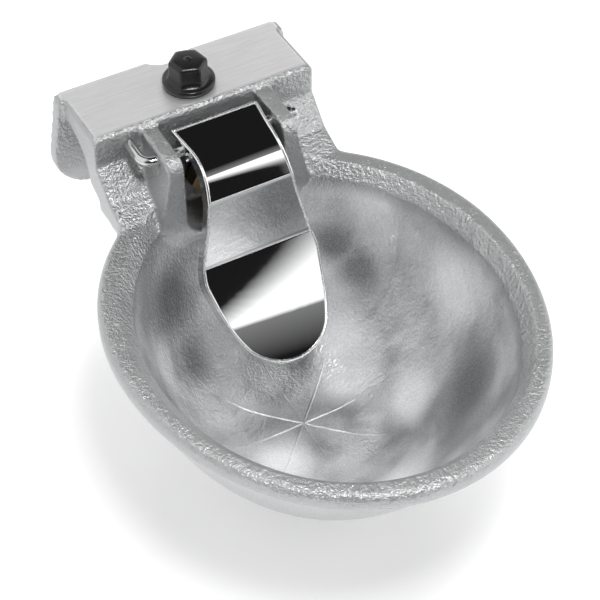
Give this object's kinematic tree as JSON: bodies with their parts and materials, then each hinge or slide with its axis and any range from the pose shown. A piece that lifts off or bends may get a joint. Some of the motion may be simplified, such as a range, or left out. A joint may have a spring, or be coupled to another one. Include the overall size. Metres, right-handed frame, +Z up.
{
  "type": "livestock drinking bowl",
  "caption": "Cast aluminium drinking bowl for livestock, with a pressed steel tongue that opens a spring-closed water valve, for bolting to a wall.",
  "frame": {"origin": "centre of the two wall bolt holes, on the rear face that lies against the wall", "axes": "+X to the right as seen by the animal, +Y into the wall, +Z up"},
  "size_m": [0.2, 0.2732, 0.1589],
  "materials": {
    "cast_aluminium": "cast, shot-blasted, top face linished",
    "polished_steel": "mirror polished stainless steel",
    "steel_pin": "bright drawn stainless steel",
    "stem_steel": "turned stainless steel",
    "spring_steel": "bright spring wire",
    "black_plastic": "semi-gloss moulded",
    "black_rubber": "matt moulded",
    "brass": "turned",
    "white_nylon": "moulded"
  },
  "bodies": {
    "bowl": {"bowl_casting": "cast_aluminium", "hinge_pin": "steel_pin", "pin_washer": "steel_pin", "pin_clip": "spring_steel", "top_plug": "black_plastic", "plug_gasket": "black_rubber", "body_gasket": "black_rubber", "valve_body": "brass", "stem_guide": "white_nylon", "valve_seat": "white_nylon", "valve_spring": "spring_steel", "spring_cage": "brass", "strainer": "white_nylon"},
    "tongue": {"tongue": "polished_steel"},
    "stem": {"valve_stem": "stem_steel", "seal_disc": "black_rubber"}
  },
  "joints": [
    {"name": "tongue_hinge", "type": "hinge", "parent": "bowl", "child": "tongue", "pos_m": [0, -0.059, 0.0297], "axis": [1, 0, 0], "range_deg": [0, 6], "stiffness_Nm_per_rad": 2, "springref_deg": -8.59},
    {"name": "stem_slide", "type": "slide", "parent": "bowl", "child": "stem", "axis": [0, 1, 0], "range_m": [0, 0.0037], "deforming": ["valve_spring"]}
  ],
  "couplings": [
    {"joint": "stem_slide", "follows": "tongue_hinge", "m_per_rad": 0.0346}
  ]
}
